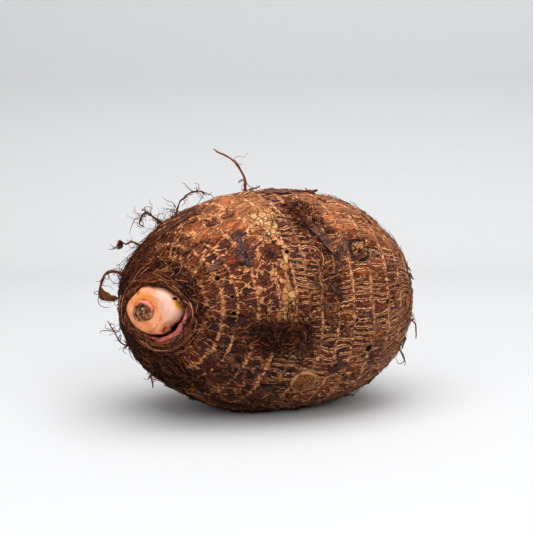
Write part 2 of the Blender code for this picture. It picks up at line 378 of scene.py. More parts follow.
def node(tree, kind, feeds=None, out=0, **settings):
    """Adds a shader node and returns one of its outputs. feeds holds a value or an output for each input."""
    made = tree.nodes.new("ShaderNode" + kind)
    for name, value in settings.items():
        setattr(made, name, value)
    for name, value in (feeds or {}).items():
        if isinstance(value, bpy.types.NodeSocket):
            tree.links.new(value, made.inputs[name])
        else:
            made.inputs[name].default_value = value
    return made.outputs[out]


def layered(tree, colour, layers):
    """Lays colours over one another. Each layer has a value, where it starts and is full, its strength
    and its colour."""
    for value, start, full, strength, over in layers:
        ramp = {"Value": value, "From Min": start, "From Max": full, "To Max": strength}
        mask = node(tree, "MapRange", ramp, interpolation_type="SMOOTHSTEP")
        over = linear(over) if isinstance(over, str) else over
        colour = node(tree, "Mix", {0: mask, 6: colour, 7: over}, 2, data_type="RGBA")
    return colour


def summed(tree, value, *others):
    """A value with a share of each of the others added to it."""
    for other, share in others:
        value = node(tree, "Math", {0: other, 1: share, 2: value}, operation="MULTIPLY_ADD")
    return value


def new_material(name, roughness, specular=0.5):
    """A material, its node tree and its shader's inputs."""
    made = bpy.data.materials.new(name)
    made.use_nodes = True
    inputs = made.node_tree.nodes["Principled BSDF"].inputs
    inputs["Roughness"].default_value = roughness
    inputs["Specular IOR Level"].default_value = specular
    return made, made.node_tree, inputs


def finished(tree, inputs, colour, bump_height, bump_depth):
    """Gives a shader its colour and its bump, whose depth is in millimetres."""
    tree.links.new(colour, inputs["Base Color"])
    bump = node(tree, "Bump", {"Height": bump_height, "Distance": bump_depth * MM})
    tree.links.new(bump, inputs["Normal"])


# Taro skin is cork, papery dried leaf and fibre. It is matt and rough, with a dull sheen on the dark papery
# panels, pale raised rings, and dark splits with pale lifted edges.
corky_skin, tree, inputs = new_material("taro_cork_skin", 0.6, 0.14)
field = {name: node(tree, "Attribute", out="Fac", attribute_name=name)
         for name in ("ring", "eye", "cork_scar", "stump", "pit", "cork", "worn", "mat", "rust_and_highlight", "lower_front_shade",
                      "split", "split_turn", "underside_shade")}
grown = node(tree, "Attribute", out="Vector", attribute_name="grown")
# Waves of about 3 mm in what would be straight lines.
waver = node(tree, "TexNoise", {"Vector": grown, "Scale": 0.33, "Detail": 3.0}, "Color")
waver = node(tree, "VectorMath", {0: waver, 1: (0.5, 0.5, 0.5)}, operation="SUBTRACT")
wavy = node(tree, "VectorMath", {0: waver, 1: (5.0, 5.0, 5.0), 2: grown}, operation="MULTIPLY_ADD")
# Papery panels, about 4.5 mm wide and twice as long.
panels = node(tree, "VectorMath", {0: wavy, 1: (0.5, 1, 1)}, operation="MULTIPLY")
panel_colour = node(tree, "TexVoronoi", {"Vector": panels, "Scale": 0.22}, "Color")
panel_shade = node(tree, "SeparateColor", {0: panel_colour})
panel_warmth = node(tree, "SeparateColor", {0: panel_colour}, 1)
panel_edge = node(tree, "TexVoronoi", {"Vector": panels, "Scale": 0.22}, feature="DISTANCE_TO_EDGE")
# Cork breaks into plates about 2.2 mm wide.
plates = node(tree, "VectorMath", {0: waver, 1: (1.6, 1.6, 1.6), 2: grown}, operation="MULTIPLY_ADD")
plate_edge = node(tree, "TexVoronoi", {"Vector": plates, "Scale": 0.43}, feature="DISTANCE_TO_EDGE")
plate_colour = node(tree, "TexVoronoi", {"Vector": plates, "Scale": 0.43}, "Color")
plate_shade = node(tree, "SeparateColor", {0: plate_colour})
# Fibres run along the corm, about 0.3 mm apart.
lengthwise = node(tree, "VectorMath", {0: wavy, 1: (0.15, 1, 1)}, operation="MULTIPLY")
fibre = node(tree, "TexNoise", {"Vector": lengthwise, "Scale": 1.7, "Detail": 4.0, "Roughness": 0.6})
speckle = node(tree, "TexNoise", {"Vector": grown, "Scale": 1.5, "Detail": 5.0, "Roughness": 0.62})
blotch = node(tree, "TexNoise", {"Vector": grown, "Scale": 0.16, "Detail": 4.0, "Roughness": 0.6})
# The distance from the nearest split, as a share of the way from one split to the next.
wobble = node(tree, "TexNoise", {"Vector": grown, "Scale": 0.7, "Detail": 2.0})
turns = summed(tree, field["split_turn"], (wobble, 0.45))
from_split = node(tree, "Math", {0: turns, 1: 0.5}, operation="PINGPONG")
to_split = node(tree, "Math", {0: 0.5, 1: from_split}, operation="SUBTRACT")
# Splits break off in places, and at the rings.
gaps = node(tree, "TexNoise", {"Vector": lengthwise, "Scale": 0.5, "Detail": 2.0})
whole = node(tree, "MapRange", {"Value": gaps, "From Min": 0.4, "From Max": 0.46})
off_ring = node(tree, "MapRange", {"Value": field["ring"], "From Min": 0.7, "From Max": 1.2})
split_here = field["split"]
for share in (whole, off_ring):
    split_here = node(tree, "Math", {0: split_here, 1: share}, operation="MULTIPLY")

# Rust, with painted highlight on the top right, and wear come in streaks.
rust_and_highlight_streaks, worn = [summed(tree, field[name], (fibre, 1.3)) for name in ("rust_and_highlight", "worn")]
papery = layered(tree, linear("2b1019"), [
    (panel_shade, 0.3, 0.6, 1.0, "5c1c0a"),
    (panel_warmth, 0.55, 0.85, 0.85, "8e3e1c"),
    (blotch, 0.48, 0.62, 0.6, "7a3014"),
    # Rust, and painted highlight on the top right.
    (rust_and_highlight_streaks, 0.8, 1.15, 0.85, "c06a3a"),
    (worn, 0.92, 1.14, 0.75, "c8713c"),
    # Painted shade on the lower front of the shoot end.
    (field["lower_front_shade"], 0.0, 0.85, 0.9, "1c0a0a"),
    (panel_edge, 0.32, 0.1, 0.6, "190705"),
    (fibre, 0.56, 0.66, 0.5, "bf642a"),
    (fibre, 0.45, 0.35, 0.8, "180503"),
    (speckle, 0.44, 0.34, 0.8, "120403"),
])
tan = layered(tree, linear("a95a30"), [
    (fibre, 0.4, 0.54, 1.0, "e89f67"),
    (speckle, 0.52, 0.64, 0.6, "fcc693"),
    (field["split"], 0.0, 1.0, 0.3, "f2b682"),
])
cork_plates = layered(tree, linear("b37341"), [
    (plate_shade, 0.0, 1.0, 1.0, "dfa973"),
    (fibre, 0.48, 0.36, 0.6, "935429"),
    (speckle, 0.42, 0.3, 0.6, "6b3a20"),
])

# The pale lines are the panels' borders, the lips of the splits and the rings.
SMOOTH = {"interpolation_type": "SMOOTHSTEP"}
blocks = node(tree, "TexNoise", {"Vector": grown, "Scale": 0.75, "Detail": 1.0})
unsplit = node(tree, "MapRange", {"Value": field["split"], "To Min": 1.0, "To Max": 0.3})
net = summed(tree, panel_edge, (speckle, 0.22))
net = node(tree, "MapRange", {"Value": net, "From Min": 0.175, "From Max": 0.145}, **SMOOTH)
net_area = node(tree, "MapRange", {"Value": blotch, "From Min": 0.42, "From Max": 0.52})
# The pale net fades out in the painted shade on the lower front.
outside_lower_front_shade = node(tree, "MapRange", {"Value": field["lower_front_shade"], "To Min": 1.0, "To Max": 0.12})
for share in (net_area, unsplit, outside_lower_front_shade):
    net = node(tree, "Math", {0: net, 1: share}, operation="MULTIPLY")
lips = summed(tree, to_split, (speckle, 0.16))
lips = node(tree, "MapRange", {"Value": lips, "From Min": 0.33, "From Max": 0.28}, **SMOOTH)
lips = node(tree, "Math", {0: lips, 1: split_here}, operation="MULTIPLY")
ring = summed(tree, field["ring"], (fibre, 4.0), (blocks, 4.0))
ring = node(tree, "MapRange", {"Value": ring, "From Min": 4.85, "From Max": 4.5}, **SMOOTH)
ring_area = node(tree, "TexNoise", {"Vector": grown, "Scale": 0.2, "Detail": 3.0})
ring_area = node(tree, "MapRange", {"Value": ring_area, "From Min": 0.42, "From Max": 0.5, "To Min": 0.2})
ring_area = node(tree, "Math", {0: ring_area, 1: unsplit}, operation="MAXIMUM")
ring = node(tree, "Math", {0: ring, 1: ring_area}, operation="MULTIPLY")
pale = net
for line in (lips, ring):
    pale = node(tree, "Math", {0: pale, 1: line}, operation="MAXIMUM")
cork_area = summed(tree, field["cork"], (speckle, 0.9), (blotch, 1.6))
cork_area = node(tree, "MapRange", {"Value": cork_area, "From Min": 1.9, "From Max": 2.0}, **SMOOTH)
# Cork and rings are cracked between their plates, and the splits are dark in the middle.
cracked = node(tree, "Math", {0: ring, 1: 0.8}, operation="MULTIPLY")
cracked = node(tree, "Math", {0: cracked, 1: cork_area}, operation="MAXIMUM")
crack = node(tree, "MapRange", {"Value": plate_edge, "From Min": 0.07, "From Max": 0.03})
crack = node(tree, "Math", {0: crack, 1: cracked}, operation="MULTIPLY")
split = node(tree, "MapRange", {"Value": to_split, "From Min": 0.1, "From Max": 0.06})
split = node(tree, "Math", {0: split, 1: split_here}, operation="MULTIPLY")
mat = summed(tree, field["mat"], (speckle, 0.9))
# The scales of a bud are rings inside one another.
eye = summed(tree, field["eye"], (blotch, 1.4), (blocks, 1.2))
circles = node(tree, "Math", {0: summed(tree, eye, (speckle, 0.5)), 1: 21.0}, operation="MULTIPLY")
circles = node(tree, "Math", {0: circles}, operation="SINE")
bud = layered(tree, linear("2b1418"), [
    (eye, 1.6, 1.85, 1.0, "63280f"),
    (circles, 0.0, 0.8, 0.7, "260e08"),
    (fibre, 0.52, 0.62, 0.6, "a86434"),
    (eye, 2.05, 2.15, 0.7, "1c0906"),
    (eye, 2.2, 2.3, 0.9, tan),
])
scar = layered(tree, linear("5f3a1c"), [
    (speckle, 0.42, 0.6, 1.0, "a5653a"),
    (field["cork_scar"], 0.8, 0.92, 1.0, "c48a5c"),
])
knob = layered(tree, linear("1c0b05"), [(speckle, 0.46, 0.56, 1.0, "b87a48")])
matted = layered(tree, linear("0b0403"), [(speckle, 0.48, 0.64, 1.0, "3c190b")])
ragged_scar = summed(tree, field["cork_scar"], (speckle, 0.3))
pit = summed(tree, field["pit"], (speckle, 1.0))
# Painted shade: a dark ring in the groove round each root stump.
stump_groove_shade = node(tree, "Math", {0: field["stump"], 1: 1.2, 2: 0.22}, operation="COMPARE")
colour = layered(tree, papery, [
    (pale, 0.0, 1.0, 1.0, tan),
    (cork_area, 0.0, 1.0, 1.0, cork_plates),
    (crack, 0.0, 1.0, 0.85, "331408"),
    (split, 0.0, 1.0, 0.95, "120604"),
    (mat, 0.75, 1.15, 0.92, matted),
    (eye, 2.46, 2.36, 1.0, bud),
    (ragged_scar, 1.22, 1.12, 1.0, scar),
    (field["stump"], 1.1, 0.85, 1.0, knob),
    (stump_groove_shade, 0.0, 1.0, 0.9, "150906"),
    (pit, 2.1, 1.9, 0.7, "a8764c"),
    # Painted shade: each pit is black in its middle.
    (pit, 1.65, 1.45, 1.0, "0c0503"),
    # Painted shade near the floor.
    (field["underside_shade"], 0.0, 1.0, 0.3, "3f230f"),
])
height = node(tree, "Math", {0: fibre, 1: 0.7}, operation="MULTIPLY")
height = summed(tree, height, (speckle, 0.35), (pale, 0.5), (cork_area, 0.3), (crack, -0.7), (split, -1.2),
                (mat, 0.3))
roughness = node(tree, "MapRange", {"Value": pale, "To Min": 0.5, "To Max": 0.8})
tree.links.new(roughness, inputs["Roughness"])
finished(tree, inputs, colour, height, 0.5)
mesh.materials.append(corky_skin)
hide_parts("corm")
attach(corm_skin, "root")


# ------------------------------------------------------------ papery scales
# What is left of the old leaf bases: thin brown strips of dried leaf that have come away from the skin. They
# lie along it, held at one end, and curl up at their tips and sides.

rng = np.random.default_rng(11)


def tangent_walk(start, finish, count):
    """Evenly spaced directions between two places on the skin, each a share and an angle in degrees."""
    ends = [direction(np.array(s), np.array(math.radians(a))) for s, a in (start, finish)]
    t = np.linspace(0, 1, count)[:, None]
    return unit(ends[0] * (1 - t) + ends[1] * t)


def flake(start, finish, width, lift, seed):
    """A closed thin strip on the skin, which lifts off it towards its finish and at its sides. Its width and
    its lift are in millimetres."""
    rows, columns = 12, 7
    spine = plain_skin(tangent_walk(start, finish, rows))
    normal = outward(spine)
    forward_way = unit(np.gradient(spine, axis=0))
    side = unit(np.cross(normal, forward_way))
    t = np.linspace(0, 1, rows)[:, None]
    s = np.linspace(-1, 1, columns)[None, :]
    shape = smooth(t, -0.1, 0.25) * (1.02 - t) ** 0.7 * (1 + 0.5 * noise(spine, 2 * MM, seed)[:, None])
    flat = spine[:, None] + side[:, None] * (s * shape * (width * MM) / 2)[..., None]
    top = skin(unit(flat - middle))
    rise = (0.25 + lift * t**2.2 + 0.25 * s**2 * lift + 0.35 * noise(flat, 2.5 * MM, seed + 1)) * MM
    top = top + normal[:, None] * np.maximum(rise, 0.12 * MM)[..., None]
    top[..., 2] = np.maximum(top[..., 2], 0.05 * MM)
    return closed_sheet(top, 0.22 * MM, normal[:, None])


def closed_sheet(top, thickness, normal):
    """The points and faces of a grid of points that is given a thickness."""
    rows, columns = top.shape[:2]
    count = rows * columns
    points = np.concatenate([top.reshape(-1, 3), (top - normal * thickness).reshape(-1, 3)])
    faces = grid_faces(rows, columns, False) + turned(grid_faces(rows, columns, False, count))
    grid = np.arange(count).reshape(rows, columns)
    rim = np.concatenate([grid[0], grid[1:, -1], grid[-1, -2::-1], grid[-2:0:-1, 0]]).tolist()
    for a, b in zip(rim, rim[1:] + rim[:1]):
        faces.append((b, a, count + a, count + b))
    return points, faces


def joined(name, parts, shades, finish):
    """One mesh of many closed parts. Each part has its own shade, from 0 to 1."""
    verts, faces, shade, offset = [], [], [], 0
    for (points, part_faces), value in zip(parts, shades):
        verts.append(points)
        faces += [tuple(corner + offset for corner in face) for face in part_faces]
        shade.append(np.full(len(points), value))
        offset += len(points)
    made = new_object(name, np.concatenate(verts), faces, finish)
    keep(made.data, "shade", np.concatenate(shade))
    return made


# Dried leaf is papery: thin, finely ribbed along its length, and a little shiny where it is smooth.
dried_leaf, tree, inputs = new_material("dried_leaf", 0.55, 0.2)
shade = node(tree, "Attribute", out="Fac", attribute_name="shade")
where = node(tree, "TexCoord", out="Object")
ribs = node(tree, "TexNoise", {"Vector": where, "Scale": 2200.0, "Detail": 3.0})
patches = node(tree, "TexNoise", {"Vector": where, "Scale": 400.0, "Detail": 4.0})
leaf_colour = layered(tree, linear("2c1216"), [
    (shade, 0.25, 0.5, 1.0, "4d1f0d"),
    (shade, 0.6, 0.9, 1.0, "9a5a2a"),
    (patches, 0.5, 0.65, 0.5, "8a4b22"),
    (ribs, 0.52, 0.68, 0.5, "b87a48"),
    (patches, 0.45, 0.33, 0.7, "170806"),
])
finished(tree, inputs, leaf_colour, ribs, 0.2)

# Each of the larger strips: where it starts and finishes, width, lift, seed and shade.
STRIPS = [
    ((0.18, 318), (0.30, 346), 4.6, 0.6, 30, 0.35),
    ((0.49, 24), (0.545, 58), 3.4, 1.2, 44, 0.1),
    ((0.60, 44), (0.53, 66), 3.8, 0.8, 46, 0.05),
    ((0.52, 98), (0.47, 80), 2.6, 1.0, 48, 0.12),
    ((0.33, 150), (0.40, 140), 3.2, 0.8, 50, 0.05),
    ((0.20, 128), (0.27, 136), 3.4, 0.6, 52, 0.08),
    ((0.248, 47), (0.287, 22), 3.6, 0.5, 32, 0.1),
    ((0.262, 52), (0.275, 36), 2.6, 0.8, 34, 0.05),
    ((0.49, 66), (0.545, 82), 2.2, 1.0, 36, 0.1),
    ((0.49, 78), (0.44, 66), 1.8, 1.2, 38, 0.15),
    ((0.53, 124), (0.585, 129), 2.0, 0.9, 40, 0.1),
    ((0.46, 352), (0.55, 2), 5.0, 1.0, 42, 0.5),
]
SMALL_STRIPS = 120
scale_strips = [flake(*strip[:-1]) for strip in STRIPS]
scale_shades = [strip[-1] for strip in STRIPS]
for number in range(SMALL_STRIPS):
    at_share, at_angle = rng.uniform(0.16, 0.94), rng.uniform(0, 360)
    reach, turn = rng.uniform(0.02, 0.05), rng.normal(0, 6)
    tip = at_share + rng.choice([-1, 1]) * reach, at_angle + turn
    width, lift = rng.uniform(1.2, 3.4), rng.uniform(0.2, 1.3)
    scale_strips.append(flake((at_share, at_angle), tip, width, lift, 60 + number))
    scale_shades.append(rng.uniform(0, 0.85))
scales = joined("papery_scales", scale_strips, scale_shades, dried_leaf)
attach(scales, "root")


# ------------------------------------------------------------ fibres
# The leaf bases rot down to brown fibres, each a tenth to a third of a millimetre thick. They mat the skin
# round the shoot, tangle in its hollows, and stand off it here and there.


def crosswise(vectors, axis):
    """Unit vectors at right angles to the axis, as near as can be to the given ones."""
    return unit(vectors - axis * np.sum(vectors * axis, axis=-1, keepdims=True))


def tubes(name, paths, radii, shades, sides, finish):
    """One mesh of closed round strands. paths is strands by points, and radii gives each point's radius."""
    strands, count = paths.shape[:2]
    tangent = unit(np.gradient(paths, axis=1))
    reference = np.where(np.abs(tangent[:, :1, 2:]) < 0.9, [0.0, 0, 1], [1.0, 0, 0])
    across = unit(np.cross(tangent[:, 0], reference[:, 0]))
    rings = []
    for k in range(count):
        across = crosswise(across, tangent[:, k])
        beside = np.cross(tangent[:, k], across)
        for side in range(sides):
            turn = 2 * math.pi * side / sides
            offset = across * math.cos(turn) + beside * math.sin(turn)
            rings.append(paths[:, k] + offset * radii[:, k, None])
    verts = np.stack(rings, axis=1).reshape(-1, 3)
    first = np.arange(strands)[:, None] * count * sides
    quads = (first[:, :, None] + np.array(grid_faces(count, sides))[None]).reshape(-1, 4)
    low_cap = (first + np.arange(sides)[::-1][None]).tolist()
    high_cap = (first + (count - 1) * sides + np.arange(sides)[None]).tolist()
    made = new_object(name, verts, quads.tolist() + low_cap + high_cap, finish)
    keep(made.data, "shade", np.repeat(shades, count * sides))
    # Each strand has its own cell in the baked textures, with its length up the cell.
    corners = read(made.data.loops, "vertex_index")
    wide = math.ceil(math.sqrt(strands))
    strand, ring_number, side = corners // (count * sides), corners // sides % count, corners % sides
    across = (strand % wide + 0.1 + 0.8 * side / (sides - 1)) / wide
    up = (strand // wide + 0.1 + 0.8 * ring_number / (count - 1)) / wide
    lay_out(made.data, across, up)
    return made


def wandering(share, angle, heading, length, curl, lift, tip_lift, count=12):
    """Strands that start at these places and wander over the skin. heading is from the base's way, in
    radians."""
    strands = len(share)
    point = plain_skin(direction(share, angle))
    ahead = plain_skin(direction(share + 0.004, angle)) - point
    bend, turning = rng.normal(0, curl, strands), heading
    path = []
    for _ in range(count):
        normal = outward(point)
        ahead = crosswise(ahead, normal)
        ahead = ahead * np.cos(turning)[:, None] + np.cross(normal, ahead) * np.sin(turning)[:, None]
        ahead = unit(ahead)
        bend = turning = 0.6 * bend + rng.normal(0, curl, strands)
        path.append(unit(point - middle))
        point = plain_skin(unit(point + ahead * (length / (count - 1))[:, None] - middle))
    path = np.stack(path, axis=1)
    t = np.linspace(0, 1, count)[None]
    wave = 0.5 + 0.5 * np.sin(t * rng.uniform(4, 14, (strands, 1)) + rng.uniform(0, 6, (strands, 1)))
    rise = 0.12 * MM + lift[:, None] * wave + tip_lift[:, None] * t**2
    place_on_skin = skin(path)
    risen = place_on_skin + outward(place_on_skin) * rise[..., None]
    risen[..., 2] = np.maximum(risen[..., 2], 0.2 * MM)
    return risen


# Dry fibre is wiry and matt, dark brown to tan.
dry_fibre, tree, inputs = new_material("dry_fibre", 0.7, 0.12)
shade = node(tree, "Attribute", out="Fac", attribute_name="shade")
fibre_colour = layered(tree, linear("160705"), [
    (shade, 0.12, 0.4, 1.0, "482010"),
    (shade, 0.45, 0.72, 1.0, "8a4c2b"),
    (shade, 0.78, 1.0, 1.0, "cf9066"),
])
tree.links.new(fibre_colour, inputs["Base Color"])

# Each zone: strands, shares, angles in degrees, lengths, how loosely they run round the corm, curl, lift,
# lift at the tip, thickness and shades.
FIBRE_ZONES = {
    "fibre_nest": [
        (380, (0.085, 0.125), (0, 360), (5, 13), 0.9, 0.25, 0.9, 0.5, 0.15, (0, 1)),
        (160, (0.09, 0.16), (330, 480), (5, 12), 2.0, 0.2, 0.8, 0.9, 0.13, (0.2, 1)),
        (850, (0.10, 0.23), (165, 325), (5, 13), 1.3, 0.28, 1.0, 0.6, 0.16, (0, 0.75)),
    ],
    "fibre_tangles": [
        (260, (0.25, 0.45), (94, 114), (4, 11), 2.0, 0.35, 1.0, 0.5, 0.15, (0, 0.75)),
        (220, (0.465, 0.525), (12, 34), (3, 8), 2.0, 0.5, 1.2, 0.7, 0.15, (0.1, 1)),
        (150, (0.48, 0.55), (20, 84), (4, 9), 2.0, 0.3, 0.9, 0.5, 0.14, (0.1, 1)),
        (240, (0.2, 0.45), (140, 230), (5, 12), 2.0, 0.3, 0.8, 0.5, 0.15, (0, 0.7)),
    ],
    "fibre_loose": [
        (480, (0.15, 0.95), (0, 360), (3, 10), 2.0, 0.3, 0.5, 0.5, 0.10, (0.1, 0.9)),
        (420, (0.6, 0.97), (0, 360), (1.5, 3.5), 2.0, 0.3, 0.3, 2.0, 0.11, (0.2, 0.9)),
        (190, (0.14, 0.3), (295, 348), (6, 14), 2.0, 0.45, 0.8, 5.0, 0.10, (0.2, 0.8)),
    ],
}
for name, zones in FIBRE_ZONES.items():
    paths, thick, shades = [], [], []
    for number, shares, angles, lengths, loose, curl, lift, tip_lift, thickness, shade_range in zones:
        share = rng.uniform(*shares, number)
        angle = np.radians(rng.uniform(*angles, number))
        heading = rng.choice([-1, 1], number) * math.pi / 2 + rng.normal(0, loose, number)
        length = rng.uniform(*lengths, number) * MM
        rise = rng.uniform(0, lift, number) * MM
        tip_rise = tip_lift * MM * rng.uniform(0, 1, number) ** 3
        path = wandering(share, angle, heading, length, curl, rise, tip_rise)
        paths.append(path)
        size = rng.uniform(0.5, 1.4, number) * thickness * MM
        thick.append(size[:, None] * np.linspace(1, 0.45, path.shape[1])[None])
        darkest, palest = shade_range
        shades.append(darkest + (palest - darkest) * rng.uniform(0, 1, number) ** 1.4)
    fibres = tubes(name, np.concatenate(paths), np.concatenate(thick), np.concatenate(shades), 3, dry_fibre)
    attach(fibres, "root")


# ------------------------------------------------------------ the cut shoot
# The leaf stalks were cut off here. Their core is a smooth wet stub of pale flesh, which grows out of the
# corm in the dish. It is stained where the air got at it, and rotted away at its lower right.

STUB = np.array([19.6, 16.2]) * MM
STUB_TOP, STUB_FOOT = 4.9 * MM, 3 * MM
STUB_OFFSET = np.array([-0.8, -0.2, -0.8]) * MM
LEAF_MIDDLE = np.array([-0.2, -0.02])  # the furled leaf's, as shares of the stub's half sizes
stub_point = shoot_point + STUB_OFFSET @ shoot_axes


def in_shoot(local):
    """Real places from places in the shoot's frame, whose origin is in the stub's widest section."""
    return stub_point + local @ shoot_axes


def stub_surface(x, y):
    """How far the stub's top stands out there, with x and y as shares of its half sizes."""
    out_from_middle = np.clip(np.hypot(x, y), 0, 1)
    rise = STUB_TOP * (1 - out_from_middle**9) ** 0.62
    # The furled leaf's hollow, on the left half.
    from_leaf = np.hypot(x - LEAF_MIDDLE[0], y - LEAF_MIDDLE[1])
    rise -= 0.7 * MM * smooth(from_leaf / 0.42, 1.0, 0.6)
    # Layers of stalk wrap round the furled leaf in steps.
    step_at = (from_leaf * 3.2 - np.arctan2(y - LEAF_MIDDLE[1], x - LEAF_MIDDLE[0]) / (2 * math.pi)) % 1
    step = smooth(step_at, 0.0, 0.12) * smooth(step_at, 1.0, 0.3)
    rise += 0.1 * MM * step * smooth(out_from_middle, 1, 0.8)
    flat = np.stack([x * STUB[0], y * STUB[1], 0 * x], axis=-1)
    return rise + 0.12 * MM * noise(flat, 2.5 * MM, 60) + 0.04 * MM * noise(flat, 0.8 * MM, 61)


def polar(rings, spokes):
    """A round grid's shares of the radius and angles, from a middle point outwards."""
    s = np.arange(1, rings + 1) / rings
    return np.meshgrid(s, np.arange(spokes) / spokes * 2 * math.pi, indexing="ij")


def cap_faces(rings, spokes, start=0):
    """Faces for a middle point at start and the rings of a round grid after it."""
    fan = [(start, start + 1 + j, start + 1 + (j + 1) % spokes) for j in range(spokes)]
    return fan + turned(grid_faces(rings, spokes, True, start + 1))


def lidded(rings, spokes, top_of, bottom_of):
    """A closed round body. top_of and bottom_of give its places from x and y, as shares of its half sizes."""
    s, a = polar(rings, spokes)
    x, y = s * np.cos(a), s * np.sin(a)
    zero = np.zeros(1)
    edge = 1 + (rings - 1) * spokes
    top = np.concatenate([top_of(zero, zero), top_of(x, y).reshape(-1, 3)])
    bottom = np.concatenate([bottom_of(zero, zero), bottom_of(x, y).reshape(-1, 3)])[:edge]
    # The lower cap's last ring is the top's last ring.
    lower = [tuple(corner - len(top) if corner >= len(top) + edge else corner for corner in face)
             for face in turned(cap_faces(rings, spokes, len(top)))]
    return np.concatenate([top, bottom]), cap_faces(rings, spokes) + lower


def notched(x, y):
    """The stub's outline, which is a little uneven and rotted away at its lower right."""
    bearing = np.arctan2(y, x)
    uneven = 0.085 * noise(together(np.cos(bearing), np.sin(bearing), 0.0), 0.5, 76)
    torn = 0.07 * noise(together(x, y, 0.0), 0.13, 67)
    notch = (0.22 + torn) * hump(np.degrees(bearing), -42, 27)
    return 1 + (uneven - notch) * smooth(np.hypot(x, y), 0.3, 1)


def in_stub(x, y, z):
    """Real places inside the stub's outline, with x and y as shares of its half sizes."""
    fit = notched(x, y)
    return in_shoot(together(x * fit * STUB[0] / 2, y * fit * STUB[1] / 2, z))


def stub_top(x, y):
    return in_stub(x, y, stub_surface(x, y))


def stub_bottom(x, y):
    return in_stub(x, y, -STUB_FOOT * np.sqrt(np.clip(1 - x**2 - y**2, 0, 1)))


def new_piece(name, points, faces, finish):
    """A piece of the shoot, which keeps its places in the shoot's frame, in millimetres, for its material."""
    made = new_object(name, points, faces, finish)
    keep(made.data, "local", (points - stub_point) @ shoot_axes.T / MM)
    return made


def wet(inputs, weight, radius, depth):
    """Lets light into a shader. Red goes deepest, to a depth in millimetres."""
    inputs["Subsurface Weight"].default_value = weight
    inputs["Subsurface Radius"].default_value = radius
    inputs["Subsurface Scale"].default_value = depth * MM


# Fresh taro flesh is wet and lets light into it. Cut, it dries to peach and stains orange brown; its paler
# upper right is also painted highlight.
flesh, tree, inputs = new_material("cut_taro_flesh", 0.38, 0.4)
local = node(tree, "Attribute", out="Vector", attribute_name="local")
mottle = node(tree, "TexNoise", {"Vector": local, "Scale": 0.7, "Detail": 5.0})
grain = node(tree, "TexNoise", {"Vector": local, "Scale": 2.4, "Detail": 3.0})
field = {name: node(tree, "Attribute", out="Fac", attribute_name=name)
         for name in ("fresh_and_highlight", "stain", "arc", "streak", "outline", "amber", "hole", "edge", "torn")}
mottled_stain = summed(tree, field["stain"], (mottle, 0.8))
blots = node(tree, "TexNoise", {"Vector": local, "Scale": 0.35, "Detail": 4.0})
flesh_colour = layered(tree, linear("ea9464"), [
    (blots, 0.47, 0.6, 0.6, "cc7440"),
    (blots, 0.47, 0.36, 0.6, "f2aa78"),
    # Fresh flesh and painted highlight, paler towards the upper right.
    (field["fresh_and_highlight"], 0.0, 1.0, 1.0, "e2a688"),
    (field["fresh_and_highlight"], 0.7, 1.0, 0.7, "e4b8a8"),
    (mottle, 0.45, 0.7, 0.4, "e08f52"),
    (mottled_stain, 0.5, 1.2, 0.9, "ea8c38"),
    (field["arc"], 0.3, 1.0, 0.7, "b56a20"),
    (field["outline"], 0.2, 0.9, 0.85, "5c2a13"),
    (field["streak"], 0.2, 1.0, 0.8, "d85f5c"),
    (field["edge"], 0.0, 1.0, 0.8, "b85f4e"),
    (field["amber"], 0.1, 0.7, 0.9, "f2aa3a"),
    (field["torn"], 0.2, 0.9, 0.9, "6e3a1c"),
    # Painted shade in the small hole, and the dark scratch.
    (field["hole"], 0.3, 0.8, 1.0, "1f0d05"),
])
finished(tree, inputs, flesh_colour, grain, 0.06)
wet(inputs, 0.3, (1.0, 0.35, 0.15), 1.2)
STUB_RINGS, STUB_SPOKES = 52, 128
points, faces = lidded(STUB_RINGS, STUB_SPOKES, stub_top, stub_bottom)
stub = new_piece("shoot_stub_flesh", points, faces, flesh)
local = (points - stub_point) @ shoot_axes.T / MM
x, y = local[:, 0], local[:, 1]
# Distances are in millimetres, some of them from the furled leaf's middle, and bearings are in degrees.
radius = np.hypot(x / STUB[0], y / STUB[1]) * 2 * MM
bearing = np.degrees(np.arctan2(y, x))
from_leaf = np.hypot(x + 2.0, y + 0.2)
leaf_bearing = np.degrees(np.arctan2(y + 0.2, x + 2.0))
bent = noise(local, 2.2, 66)


def facing_share(bearing, middle, start, full):
    """1 where a bearing in degrees is near the middle one, by the cosine of the angle between them."""
    return smooth(np.cos(np.radians(bearing - middle)), start, full)


# Paler towards the upper right: fresh flesh, and painted highlight where the light falls from the upper
# right.
keep(stub.data, "fresh_and_highlight", smooth(x + 0.6 * y + 1.5 * bent, -2.5, 8.0) * smooth(y, -8, -2))
outline = hump(from_leaf + 0.4 * bent, 3.9, 0.3) * (0.7 + 0.6 * bent)
keep(stub.data, "outline", outline * facing_share(leaf_bearing, 85, -0.3, 0.4))
halo = hump(from_leaf + 0.9 * noise(local, 1.4, 71) + 0.5 * bent, 4.6, 1.1)
halo *= facing_share(leaf_bearing, 75, -0.2, 0.6)
keep(stub.data, "stain", np.clip(halo * (1 + 0.5 * bent), 0, 1))
arc = hump(from_leaf + 0.5 * bent, 6.4, 0.5) * facing_share(leaf_bearing, -52, 0.45, 0.85)
keep(stub.data, "arc", arc * (0.9 + 0.5 * noise(local, 1.1, 68)))
keep(stub.data, "streak", hump(x, 1.9, 1.5) * hump(y + 0.25 * (x - 1.9), 1.6, 0.5))
ragged_edge = radius + 0.05 * bent
amber = smooth(ragged_edge, 0.9, 0.97) * smooth(ragged_edge, 1.02, 0.98)
keep(stub.data, "amber", amber * facing_share(bearing, 40, 0.78, 0.92))
in_notch = hump(bearing, -42, 22)
keep(stub.data, "torn", smooth(ragged_edge + 0.12 * noise(local, 0.8, 69), 0.76, 0.86) * in_notch)
